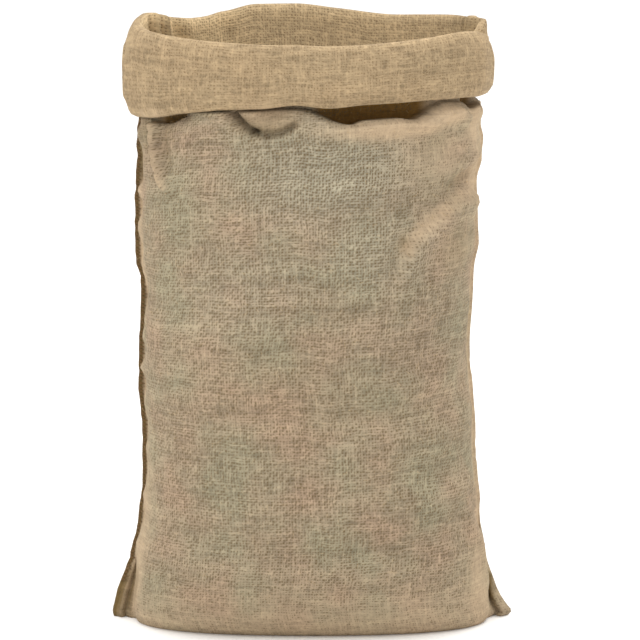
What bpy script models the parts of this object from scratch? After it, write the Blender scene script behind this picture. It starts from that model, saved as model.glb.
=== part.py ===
"""A hessian sack standing open, with its mouth turned down outside as a cuff.

The sack is one cut piece of hessian. It is folded at its right side, its two side edges are overlocked
together on the outside at the left, and its bottom edges are sewn together, so a flat ear stands out at
each bottom corner. The cloth is laid out as a flat grid, columns across the cut and rows up it, and each
of its points is then moved to where it hangs. The origin is at the middle of the floor under the sack,
+X is right, +Y is back and +Z is up.
"""

import math
from collections import namedtuple

import bmesh
import bpy
import numpy as np

MM = 0.001

# Driving sizes, in millimetres.
CUT_WIDTH = 1020.0  # one width of cloth, round the sack
CLOTH_THICKNESS = 1.5
EDGE_GAP = 2.8  # between the middles of the two layers in a seam edge or an ear
SEAM_LEAN = math.radians(14)  # how far the seam edge lies back from straight out
FOLD_LEAN = math.radians(4)
EASE = 3.5  # how softly cloth turns where a flat edge leaves the wall
FLOOR_ROW = CLOTH_THICKNESS / 2
CUFF_FOOT = 566.0  # usual height of the cuff's lower edge
NECK_EASE = 15.0  # the wall draws in over this height to go up inside the cuff
NECK_OVERLAP = 1.5  # and is drawn in this far above the cuff's lower edge

# Columns of the grid: places across the cut, measured from a side edge.
EDGE_COLUMNS = (0.0, 2.2, 6.5, 13.0, 23.0, 36.0, 52.0)
FIRST_INNER_COLUMN = 70.0
INNER_COLUMNS = 20

# Rows of the grid up the wall, as heights where the cuff is at its usual height.
WALL_ROWS = (
    FLOOR_ROW, 4, 13, 28, 50, 76, 106, 140, 176, 212, 248, 284, 318, 350,
    380, 408, 434, 458, 480, 500, 518, 532, 544, 553, 560, 566,
)
# Rows inside the cuff, as shares of the way from its lower edge to the rim.
NECK_ROWS = (0.22, 0.58, 0.86)

# The level sections of the body. Left and right are the wall's two sides, seam_edge and fold_edge are how
# far the flat edge stands out at each, and sides_at is how far back the two sides lie.
Level = namedtuple("Level", "height left right front back squareness seam_edge fold_edge sides_at")
LEVELS = (
    Level(0.0, 181, 187, 85, 84, 2.4, 25, 24, -13),
    Level(4, 182, 190, 91, 90, 2.4, 25, 25, -13),
    Level(13, 184, 191, 99, 98, 2.4, 22, 18, -12),
    Level(28, 183, 190, 107, 106, 2.4, 20, 10, -9),
    Level(50, 181, 187, 115, 114, 2.45, 14, 4, -6),
    Level(70, 181, 185, 122, 120, 2.4, 7, 1.5, -3),
    Level(82, 179, 184, 125, 123, 2.4, 5, 1, -2),
    Level(106, 174, 180, 129, 127, 2.35, 5, 3, 0),
    Level(147, 170, 175, 134, 132, 2.3, 5, 4, 3),
    Level(216, 168, 171.5, 138, 136, 2.3, 7, 4, 6),
    Level(259, 171, 168.5, 139, 137, 2.3, 7, 4, 7),
    Level(294, 171, 165.5, 139, 137, 2.3, 7, 4, 8),
    Level(345, 169, 169, 138, 136, 2.3, 7, 4, 8),
    Level(380, 168, 170, 137, 135, 2.3, 7, 4, 8),
    Level(405, 173, 174, 136, 134, 2.3, 7, 4, 8),
    Level(465, 174, 173, 134, 132, 2.3, 7, 3.5, 8),
    Level(490, 173, 176, 133, 131, 2.3, 7, 3, 7),
    Level(516, 173, 179, 132, 130, 2.3, 5, 3, 6),
    Level(532, 174, 176, 131, 129, 2.3, 4, 3, 5),
    Level(566, 174, 177, 129, 127, 2.3, 2, 2, 2),
)
# The neck inside the cuff, which the rim and the cuff are measured from.
NECK = Level(632, 170, 175, 123, 120, 2.3, 0, 0, 0)

# The rim and the cuff at places round the mouth, from the seam along the front and home along the back.
Mouth = namedtuple("Mouth", "place rim cuff_foot cuff_out")
MOUTH = (
    Mouth(0, 636, 540, 21),
    Mouth(74, 636, 548, 18),
    Mouth(115, 635, 557, 17),
    Mouth(161, 634, 564, 17),
    Mouth(206, 633, 567, 17),
    Mouth(239, 633, 571, 17),
    Mouth(275, 632, 568, 17),
    Mouth(313, 633, 571, 17),
    Mouth(376, 636, 572, 17),
    Mouth(425, 638, 570, 17),
    Mouth(462, 634, 566, 17),
    Mouth(488, 627, 564, 17),
    Mouth(506, 622, 562, 16),
    Mouth(528, 636, 562, 14),
    Mouth(544, 638, 562, 14),
    Mouth(566, 633, 562, 16),
    Mouth(590, 632, 562, 16),
    Mouth(640, 628, 560, 16),
    Mouth(675, 626, 558, 17),
    Mouth(734, 631, 560, 18),
    Mouth(783, 636, 566, 17),
    Mouth(826, 636, 567, 17),
    Mouth(858, 630, 564, 17),
    Mouth(892, 625, 560, 17),
    Mouth(920, 627, 554, 18),
    Mouth(975, 639, 547, 19),
)

# The cloth's way over the rim, down the cuff, round under and up again behind it. Down is a share of the
# way from the rim to the cuff's lower edge, and out is a share of how far the cuff stands off the neck.
Turn = namedtuple("Turn", "down out")
CUFF_ROWS = (
    Turn(0.020, 0.10),
    Turn(0.000, 0.33),
    Turn(0.018, 0.54),
    Turn(0.075, 0.70),
    Turn(0.190, 0.86),
    Turn(0.380, 0.98),
    Turn(0.600, 1.00),
    Turn(0.790, 0.95),
    Turn(0.910, 0.84),
    Turn(0.980, 0.69),
    Turn(1.000, 0.53),
    Turn(0.975, 0.36),
    Turn(0.900, 0.27),
    Turn(0.720, 0.25),
    Turn(0.500, 0.28),
)

# Folds: soft ridges and troughs between two places on the cloth. Rise is how far the fold stands out of
# the wall, less than nothing for a trough, and reach is how far it spreads to each side.
Fold = namedtuple("Fold", "place height to_place to_height reach rise")
FOLDS = (
    # Under the cuff, from left to right.
    Fold(72, 548, 98, 552, 8, -14),
    Fold(166, 547, 240, 544, 9, 5),
    Fold(170, 564, 200, 543, 8, -10),
    Fold(194, 562, 242, 557, 9, 5),
    Fold(258, 550, 386, 551, 10, 5),
    Fold(274, 566, 384, 565, 9, -18),
    Fold(474, 552, 500, 544, 12, 4),
    Fold(476, 562, 492, 558, 6, -9),
    # The crease that runs down from the right side.
    Fold(486, 472, 414, 467, 11, -6),
    Fold(414, 467, 362, 434, 11, -6),
    Fold(362, 434, 346, 400, 10, -6),
    Fold(486, 452, 416, 449, 11, 6),
    Fold(416, 449, 370, 418, 11, 6),
    Fold(370, 418, 356, 388, 10, 6),
    # Down the left side of the front.
    Fold(52, 552, 60, 510, 8, 8),
    Fold(60, 510, 98, 470, 9, 8),
    Fold(74, 542, 88, 498, 10, -7),
    # Slack in the front.
    Fold(300, 203, 474, 232, 18, 3.2),
    Fold(280, 128, 462, 160, 18, 3.2),
    Fold(330, 166, 470, 196, 16, -3),
    Fold(330, 262, 462, 306, 18, 3),
    Fold(60, 330, 190, 316, 21, 3),
    Fold(70, 236, 230, 252, 21, -3),
    # Up the two sides from the ears.
    Fold(496, 40, 452, 112, 11, 4),
    Fold(502, 96, 462, 148, 11, -4),
    Fold(524, 40, 570, 132, 11, 4),
    Fold(518, 110, 566, 176, 11, -4),
    Fold(994, 84, 940, 140, 11, -4),
    Fold(988, 130, 930, 180, 11, 4),
    Fold(530, 514, 584, 486, 12, -6),
    Fold(520, 488, 588, 462, 12, 6),
    # The back.
    Fold(566, 538, 704, 440, 13, -10),
    Fold(560, 500, 676, 396, 13, 9),
    Fold(1000, 505, 846, 442, 13, -8),
    Fold(996, 478, 860, 408, 12, 8),
    Fold(700, 546, 800, 545, 13, -6),
    Fold(610, 318, 740, 302, 22, 6),
    Fold(740, 302, 900, 350, 22, 6),
    Fold(590, 250, 820, 262, 20, -6),
    Fold(660, 128, 880, 136, 22, 5),
    Fold(720, 172, 930, 212, 18, -5),
)

CLOTH_COLOUR = (0.335, 0.255, 0.165, 1.0)


def curve_through(xs, ys, at):
    """Read a smooth curve through the points of a table, without overshoot past a level stretch."""
    xs = np.asarray(xs, float)
    ys = np.asarray(ys, float)
    steps = np.diff(xs)
    slopes = np.diff(ys) / steps
    turns = np.zeros(len(xs))
    weights = (2 * steps[1:] + steps[:-1], steps[1:] + 2 * steps[:-1])
    same_way = slopes[:-1] * slopes[1:] > 0
    means = sum(weights) / np.where(same_way, weights[0] / np.where(same_way, slopes[:-1], 1)
                                    + weights[1] / np.where(same_way, slopes[1:], 1), 1)
    turns[1:-1] = np.where(same_way, means, 0)
    turns[0] = slopes[0]
    turns[-1] = slopes[-1]
    at = np.clip(at, xs[0], xs[-1])
    i = np.clip(np.searchsorted(xs, at, side="right") - 1, 0, len(steps) - 1)
    t = (at - xs[i]) / steps[i]
    start = (1 + 2 * t) * (1 - t) ** 2 * ys[i] + t * (1 - t) ** 2 * steps[i] * turns[i]
    end = t * t * (3 - 2 * t) * ys[i + 1] + t * t * (t - 1) * steps[i] * turns[i + 1]
    return start + end


def level_at(height):
    """The section of the body at one height, between the rows of its table."""
    columns = list(zip(*LEVELS))
    return Level(height, *(float(curve_through(columns[0], column, height)) for column in columns[1:]))


def round_the_mouth(column, places):
    """Read one column of the mouth's table at places round it. The table closes on itself."""
    rows = MOUTH + (MOUTH[0]._replace(place=CUT_WIDTH), MOUTH[1]._replace(place=CUT_WIDTH + MOUTH[1].place))
    rows = (MOUTH[-1]._replace(place=MOUTH[-1].place - CUT_WIDTH),) + rows
    return curve_through([row.place for row in rows], [getattr(row, column) for row in rows], places)


def smooth_step(start, end, at):
    """Go softly from 0 at the start to 1 at the end."""
    t = np.clip((at - start) / (end - start), 0, 1)
    return t * t * (3 - 2 * t)


def flat_edge(root, way, length, lean, sides_at, side):
    """One layer of a flat edge, tip first: both layers share the tip and run to the wall side by side."""
    out = np.array([way * math.cos(lean), math.sin(lean)])
    across = np.array([-way * math.sin(lean), math.cos(lean)]) * side * EDGE_GAP / 2
    tip = np.array([root, sides_at]) + out * length
    return [tip, tip - out * EDGE_GAP / 2 + across, np.array([root, sides_at]) + across]


def half_section(level, side, places):
    """The front (side -1) or the back (side 1) of one level section, at places from the seam to the fold."""
    middle = (level.right - level.left) / 2
    half_width = (level.right + level.left) / 2
    depth = level.front if side < 0 else level.back
    turn = np.linspace(0, math.pi, 181)[1:-1]
    across = -np.sign(np.cos(turn)) * np.abs(np.cos(turn)) ** (2 / level.squareness)
    out = np.sin(turn) ** (2 / level.squareness)
    wall = np.stack([middle + half_width * across, side * depth * out + level.sides_at * (1 - out)], axis=1)
    left = flat_edge(-level.left, -1, level.seam_edge, SEAM_LEAN, level.sides_at, side)
    right = flat_edge(level.right, 1, level.fold_edge, FOLD_LEAN, level.sides_at, side)
    keep = np.abs(wall[:, 1] - level.sides_at) > EDGE_GAP
    line = [left[0]] + left[1:] * (level.seam_edge > EDGE_GAP)
    line += list(wall[keep])
    line += right[:0:-1] * (level.fold_edge > EDGE_GAP) + [right[0]]
    line = eased(np.array(line))
    along = lengths_along(line)
    at = places / places[-1] * along[-1]
    return np.stack([np.interp(at, along, line[:, axis]) for axis in (0, 1)], axis=1)


def lengths_along(line):
    """How far along an open line each of its points is."""
    return np.r_[0, np.cumsum(np.linalg.norm(np.diff(line, axis=0), axis=1))]


def eased(line):
    """Round an open line's corners as cloth would, with its two ends left where they are."""
    along = lengths_along(line)
    even = np.linspace(0, along[-1], int(along[-1]) + 1)
    points = np.stack([np.interp(even, along, line[:, axis]) for axis in (0, 1)], axis=1)
    reach = int(3 * EASE)
    weights = np.exp(-0.5 * (np.arange(-reach, reach + 1) / EASE) ** 2)
    before = 2 * points[0] - points[reach:0:-1]
    after = 2 * points[-1] - points[-2 : -reach - 2 : -1]
    padded = np.concatenate([before, points, after])
    weights /= weights.sum()
    return np.stack([np.convolve(padded[:, axis], weights, "valid") for axis in (0, 1)], axis=1)


def section(level, places):
    """A whole level section, one point for each place round the sack."""
    front_places = places[: len(places) // 2 + 1]
    front = half_section(level, -1, front_places)
    back = half_section(level, 1, front_places)
    return np.concatenate([front, back[-2:0:-1]])


def outward(ring):
    """Unit directions out of a closed ring of points that runs from the left by the front."""
    along = np.roll(ring, -1, axis=0) - np.roll(ring, 1, axis=0)
    out = np.stack([along[:, 1], -along[:, 0]], axis=1)
    return out / np.linalg.norm(out, axis=1)[:, None]


def fold_rise(places, heights):
    """How far all the folds together move the wall in or out."""
    rise = np.zeros(len(places))
    for fold in FOLDS:
        start = np.array([fold.place, fold.height])
        run = np.array([fold.to_place, fold.to_height]) - start
        here = np.stack([places, heights], axis=1) - start
        share = np.clip(here @ run / (run @ run), 0, 1)
        off = np.linalg.norm(here - share[:, None] * run, axis=1)
        rise += fold.rise * np.exp(-((off / fold.reach) ** 2))
    return rise


def column_places():
    """Places of the grid's columns round the sack: closer together at the two side edges."""
    half = CUT_WIDTH / 2
    inner = np.linspace(FIRST_INNER_COLUMN, half - FIRST_INNER_COLUMN, INNER_COLUMNS)
    edge = np.array(EDGE_COLUMNS)
    front = np.concatenate([edge, inner, half - edge[::-1]])
    return np.concatenate([front, half + front[1:-1]])


def cloth_rows(places):
    """The cloth's rows as it hangs, each a list of points round the sack, from the bottom seam up."""
    rim = round_the_mouth("rim", places) - CLOTH_THICKNESS / 2
    foot = round_the_mouth("cuff_foot", places) + CLOTH_THICKNESS / 2
    cuff_out = round_the_mouth("cuff_out", places)
    neck = section(NECK, places)
    neck_out = outward(neck)
    rows = []
    for row_height in WALL_ROWS:
        wall = section(level_at(row_height), places)
        heights = FLOOR_ROW + (row_height - FLOOR_ROW) * (foot - FLOOR_ROW) / (CUFF_FOOT - FLOOR_ROW)
        drawn_in = smooth_step(foot + NECK_OVERLAP - NECK_EASE, foot + NECK_OVERLAP, heights)[:, None]
        wall = wall * (1 - drawn_in) + neck * drawn_in
        rise = fold_rise(places, heights)
        rise = np.where(rise > 0, rise * (1 - drawn_in[:, 0]), rise)
        wall += outward(wall) * (rise * smooth_step(FLOOR_ROW, 60, heights))[:, None]
        rows.append(np.column_stack([wall, heights]))
    for share in NECK_ROWS:
        heights = foot + (rim - foot) * share
        rise = np.minimum(fold_rise(places, heights), 0)
        rows.append(np.column_stack([neck + neck_out * rise[:, None], heights]))
    for turn in CUFF_ROWS:
        heights = rim - (rim - foot) * turn.down
        rows.append(np.column_stack([neck + neck_out * (cuff_out * turn.out)[:, None], heights]))
    opposite = -np.arange(len(places)) % len(places)
    bottom_seam = (rows[0] + rows[0][opposite]) / 2
    rows = np.array([bottom_seam] + rows)
    middle = (rows.min(axis=(0, 1)) + rows.max(axis=(0, 1))) / 2
    rows[:, :, :2] -= middle[:2]
    return rows


def sack_cloth(material, collection):
    """Hang the flat cut cloth as the sack, join its seams and give it its thickness."""
    places = column_places()
    rows = cloth_rows(places)
    mesh = bpy.data.meshes.new("sack")
    bm = bmesh.new()
    bmesh.ops.create_grid(bm, x_segments=len(places), y_segments=len(rows) - 1, size=0.5)
    for vert in bm.verts:
        column = round((vert.co.x + 0.5) * len(places)) % len(places)
        row = round((vert.co.y + 0.5) * (len(rows) - 1))
        vert.co = rows[row][column] * MM
    bmesh.ops.remove_doubles(bm, verts=bm.verts, dist=0.00002)
    bm.to_mesh(mesh)
    bm.free()
    mesh.materials.append(material)
    mesh.shade_smooth()
    sack = bpy.data.objects.new("sack", mesh)
    collection.objects.link(sack)
    shell = sack.modifiers.new("thickness", "SOLIDIFY")
    shell.thickness = CLOTH_THICKNESS * MM
    shell.offset = 0.0
    shell.use_quality_normals = True
    return sack


def cloth_material():
    """Undyed hessian: plain woven jute, dull and rough."""
    material = bpy.data.materials.new("hessian")
    material.use_nodes = True
    shader = material.node_tree.nodes["Principled BSDF"]
    shader.inputs["Base Color"].default_value = CLOTH_COLOUR
    shader.inputs["Roughness"].default_value = 0.95
    shader.inputs["Metallic"].default_value = 0.0
    material.diffuse_color = CLOTH_COLOUR
    return material


def build_sack():
    """Clear the scene and build the sack in a collection of its own."""
    for old in list(bpy.data.objects):
        bpy.data.objects.remove(old, do_unlink=True)
    collection = bpy.data.collections.new("hessian_sack")
    bpy.context.scene.collection.children.link(collection)
    sack_cloth(cloth_material(), collection)


build_sack()
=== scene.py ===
"""A hessian sack standing open, its mouth turned down outside as a cuff, dressed over its frame.

The cloth starts as the flat cut piece, a grid of columns across the cut and rows up it, and each of its
points is moved to where it hangs. Its UV map keeps each point's place on the flat cut, in metres, so the
weave follows the cloth through every fold. The overlock thread and the loose fibres are made along it.
"""

import math
import random
from collections import namedtuple
from functools import lru_cache, partial

import bpy
import numpy as np
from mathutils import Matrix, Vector, noise


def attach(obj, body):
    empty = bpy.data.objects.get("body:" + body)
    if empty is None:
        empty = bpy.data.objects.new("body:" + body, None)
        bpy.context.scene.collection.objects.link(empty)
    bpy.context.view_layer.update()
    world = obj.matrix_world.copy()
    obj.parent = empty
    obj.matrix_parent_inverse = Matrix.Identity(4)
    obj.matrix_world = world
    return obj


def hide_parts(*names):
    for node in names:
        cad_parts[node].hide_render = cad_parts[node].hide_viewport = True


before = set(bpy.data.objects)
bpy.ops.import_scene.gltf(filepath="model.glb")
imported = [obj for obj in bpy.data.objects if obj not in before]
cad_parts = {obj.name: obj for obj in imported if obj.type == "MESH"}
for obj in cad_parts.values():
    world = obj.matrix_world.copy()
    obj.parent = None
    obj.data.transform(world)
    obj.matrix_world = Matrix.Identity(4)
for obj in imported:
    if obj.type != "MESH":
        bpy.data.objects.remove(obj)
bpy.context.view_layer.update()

bl_info = {
    "name": "Hessian sack",
    "version": (1, 0, 0),
    "blender": (4, 5, 0),
    "location": "3D View > Sidebar > Sack",
    "description": "Makes an open hessian sack with a turned-down cuff, its overlocked seam and its stage",
    "category": "Object",
}


def rows_of(kind, rows):
    """Name the values in each row of a table."""
    return tuple(kind(*row) for row in rows)


MM = 0.001
SACK_NODE = "sack"

# The cut cloth and how it lies, in millimetres.
CUT_WIDTH = 1020.0
EDGE_GAP = 2.1  # between the middles of the two layers in the seam edge and the ears
SEAM_LEAN = math.radians(14)
FOLD_LEAN = math.radians(4)
EASE = 3.0  # how softly cloth turns where a flat edge leaves the wall
EASE_STEPS = 2  # points to a millimetre of a section while it is eased
ARC_STEPS = 360  # steps round half a section before that
CUFF_FOOT = 566.0  # usual height of the cuff's lower edge
LIP_TURN = 3.0  # height over which the wall turns in at its top
LIP_DIP = 0.3  # how far it drops behind its lip there, as a share of how far in it goes
RIM_DROP = 1.2  # how far below the rim the neck's last row lies
WELD = 0.01  # how near each other points are made one

# The grid's columns: their places near an edge, and the count of them up to each further place.
EDGE_COLUMNS = (0, 0.9, 2.0, 3.4, 5.0, 6.8, 8.8, 11.2, 14.0, 17.2, 21.0)
Run = namedtuple("Run", "to_place columns")
COLUMN_RUNS = (Run(44, 4), Run(104, 19), Run(160, 8), Run(250, 38), Run(404, 44), Run(489, 18))
# Its rows: their heights near the floor, the even stretches above, and the counts behind and on the cuff.
LOW_ROWS = (1.8, 3.8, 6.6, 10.4, 15.5, 22, 30, 38)
Stretch = namedtuple("Stretch", "start end rows")
ROW_STRETCHES = (Stretch(45, 470, 64), Stretch(474.5, 527, 14), Stretch(529.5, CUFF_FOOT, 30))
NECK_ROWS = 8
CUFF_ROWS = 36

# Spans over which one thing gives way to another, each as its start and its end. First by the distance
# from the seam,
FOLDS_GROW = (2, 12)
EDGE_STRAYS_LESS = (5, 22)
PUCKERS_GROW = (3, 11)
PUCKERS_FADE = (14, 34)
SEAM_BROWN_AND_SHADE_FADES = (3, 8)
EAR_BROWN_FADES = (20, 27)
# by height,
EDGE_STRAYS = (2, 30)
EAR_BROWN_ENDS = (50, 74)
FOLDS_FULL = 55  # the folds start at the floor and are at their full depth here
# by the depth of the hollow behind a lip, over which painted shade darkens it,
HOLLOW_SHADE_DEEPENS = (4, 14)
# by the share of the way up the neck,
NECK_FOLDS_GROW = (0, 0.4)
HOLLOW_CLOSES = (0.1, 0.8)
RIM_LEANS_OUT = (0.7, 1)
# and by the length along the cuff's cloth.
NECK_FOLDS_FADE = (2, 22)
CUFF_FACE_STARTS = (6, 20)
CUFF_FACE_ENDS = (66, 78)

# The overlock shows from the ear's foot to under the cuff, by how far up the cut it is. Its stitches are
# uneven: by a share of their size, in turns of so many radians from one to the next.
SEAM_START = 104.0
SEAM_END = 640.0
Sway = namedtuple("Sway", "share turn")
BITE_SWAY = Sway(0.15, 2.4)
PITCH_SWAY = Sway(0.2, 1.7)
THREAD_SIDES = 6

# Loose fibres. A fibre's path is a row of points, each with how far along it is and how far it stands
# off, as shares of the fibre's own run and stand.
FIBRES_FROM = 115.0  # how far up the cut they start, clear of the floor
ON_THE_CUFF = 730.0  # how far up the cut the cloth has turned over the rim
FIBRE_RUN = 2.2
FIBRE_STAND = (0.6, 2.4)
FIBRE_FOOT = 0.5  # how far off the middle of the cloth they start
FIBRE_PATH = ((0, 0), (0.8, 0.55), (1.5, 0.9), (2.3, 0.8))
FIBRE_RADIUS = 0.12
FIBRE_SIDES = 4
FIBRE_SEED = 7

# Lumps of the cloth and waves of the seam edge: how far they rise, about how large they are, and a number
# that makes each pattern differ.
Crumple = namedtuple("Crumple", "rise size seed")
WALL_CRUMPLES = (Crumple(1.5, 46, 1), Crumple(0.6, 19, 2))
CUFF_CRUMPLES = (Crumple(1.1, 38, 3), Crumple(0.5, 15, 4))
EDGE_SIDEWAYS = (Crumple(1.3, 9, 11), Crumple(1.2, 27, 12))
EDGE_BACK_AND_FORTH = (Crumple(2.6, 21, 13),)
SEED_STEPS = (17.3, 5.1, 9.7)  # how far apart in the noise two such patterns are
EDGE_SEED_STEP = 3.7

# Colours and finishes beside those in the settings below.
OUTSIDE_DULL_HEX = "#918870"
# The pale inside yarn is painted light on the inside.
INSIDE_HEXES = ("#9E8869", "#C9B088", "#766044")  # the dull yarn, the pale one and the gaps
SHEEN_HEX = "#E8CFA4"
THREAD_LIGHT_HEX = "#7B5F3B"
FIBRE_DARK_HEX = "#A68C66"
FIBRE_LIGHT_HEX = "#CDB58C"
FLOOR_HEX = "#F6F5F3"
OUTSIDE_OPEN = 0.85  # how wide the gaps between the yarns are
INSIDE_OPEN = 0.3
TWIST_SIZE = 0.003  # of the uneven tone of thread and fibre, in metres
TWIST_HEIGHT = 0.0003

# The level sections of the body. Left and right are the wall's two sides, seam_edge and fold_edge are how
# far the flat edge stands out at each, and sides_at is how far back the two sides lie.
Level = namedtuple("Level", "height left right front back squareness seam_edge fold_edge sides_at")
LEVELS = rows_of(Level, (
    (0.0, 181, 187, 85, 84, 2.4, 25, 24, -13),
    (4, 182, 190, 91, 90, 2.4, 25, 25, -13),
    (13, 184, 191, 99, 98, 2.4, 22, 18, -12),
    (28, 183, 190, 107, 106, 2.4, 20, 10, -9),
    (50, 181, 187, 115, 114, 2.45, 14, 4, -6),
    (70, 181, 185, 122, 120, 2.4, 7, 1.5, -3),
    (82, 179, 184, 125, 123, 2.4, 5, 1, -2),
    (106, 174, 180, 129, 127, 2.35, 5, 3, 0),
    (147, 170, 175, 134, 132, 2.3, 5, 4, 3),
    (216, 168, 171.5, 138, 136, 2.3, 7, 4, 6),
    (259, 171, 168.5, 139, 137, 2.3, 7, 4, 7),
    (294, 171, 165.5, 139, 137, 2.3, 7, 4, 8),
    (345, 169, 169, 138, 136, 2.3, 7, 4, 8),
    (380, 168, 170, 137, 135, 2.3, 7, 4, 8),
    (405, 173, 174, 136, 134, 2.3, 7, 4, 8),
    (465, 174, 173, 134, 132, 2.3, 7, 3.5, 8),
    (490, 173, 176, 133, 131, 2.3, 7, 3, 7),
    (516, 173, 179, 132, 130, 2.3, 5, 3, 6),
    (532, 174, 176, 131, 129, 2.3, 4, 3, 5),
    (566, 174, 177, 129, 127, 2.3, 2, 2, 2),
))
NECK = Level(632, 170, 175, 123, 120, 2.3, 0, 0, 0)
FOOTPRINT_MIDDLE = (4.36, 0.4)  # the middle of the sections above, which the origin stands under

# The rim and the cuff at places round the mouth, from the seam along the front and home along the back.
Mouth = namedtuple("Mouth", "place rim cuff_foot cuff_out")
MOUTH = rows_of(Mouth, (
    (0, 636, 540, 21),
    (74, 636, 548, 18),
    (115, 635, 557, 17),
    (161, 634, 564, 17),
    (206, 633, 567, 17),
    (239, 633, 571, 17),
    (275, 632, 568, 17),
    (313, 633, 571, 17),
    (376, 636, 572, 17),
    (425, 638, 570, 17),
    (462, 634, 566, 17),
    (488, 627, 564, 17),
    (506, 622, 562, 16),
    (528, 636, 562, 14),
    (544, 638, 562, 14),
    (566, 633, 562, 16),
    (590, 632, 562, 16),
    (640, 628, 560, 16),
    (675, 626, 558, 17),
    (734, 631, 560, 18),
    (783, 636, 566, 17),
    (826, 636, 567, 17),
    (858, 630, 564, 17),
    (892, 625, 560, 17),
    (920, 627, 554, 18),
    (975, 639, 547, 19),
))

# The cloth's way over the rim, down the cuff, round under and up again behind it. Down is a share of the
# way from the rim to the cuff's lower edge, and out is a share of how far the cuff stands off the neck.
Turn = namedtuple("Turn", "along down out")
CUFF_TURNS = rows_of(Turn, (
    (0, 0.020, 0.10),
    (4, 0.000, 0.33),
    (8, 0.018, 0.54),
    (13, 0.075, 0.70),
    (21, 0.190, 0.86),
    (34, 0.380, 0.98),
    (48, 0.600, 1.00),
    (61, 0.790, 0.95),
    (69, 0.910, 0.84),
    (74.5, 0.980, 0.69),
    (77.5, 1.000, 0.53),
    (80.5, 0.975, 0.36),
    (86, 0.900, 0.27),
    (98, 0.720, 0.25),
    (112, 0.500, 0.28),
))

# Where the wall turns in under the cuff, and how far in behind the neck it goes there.
Lip = namedtuple("Lip", "place height depth")
LIPS = rows_of(Lip, (
    (0, 536, 2),
    (50, 541, 2),
    (60, 540, 7),
    (72, 540, 16),
    (88, 541, 19),
    (99, 546, 16),
    (111, 554, 7),
    (132, 559, 3),
    (170, 561, 2),
    (235, 565, 2),
    (252, 564, 5),
    (268, 559, 14),
    (284, 553, 24),
    (300, 550, 28),
    (314, 554, 26),
    (349, 555, 24),
    (370, 552, 20),
    (380, 555, 15),
    (391, 562, 8),
    (406, 566, 2),
    (424, 564, 2),
    (437, 562, 3),
    (448, 557, 7),
    (458, 553, 14),
    (468, 553, 14),
    (480, 554, 13),
    (490, 552, 14),
    (500, 552, 7),
    (512, 552, 2),
    (600, 548, 4),
    (760, 550, 8),
    (900, 548, 4),
))

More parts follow.
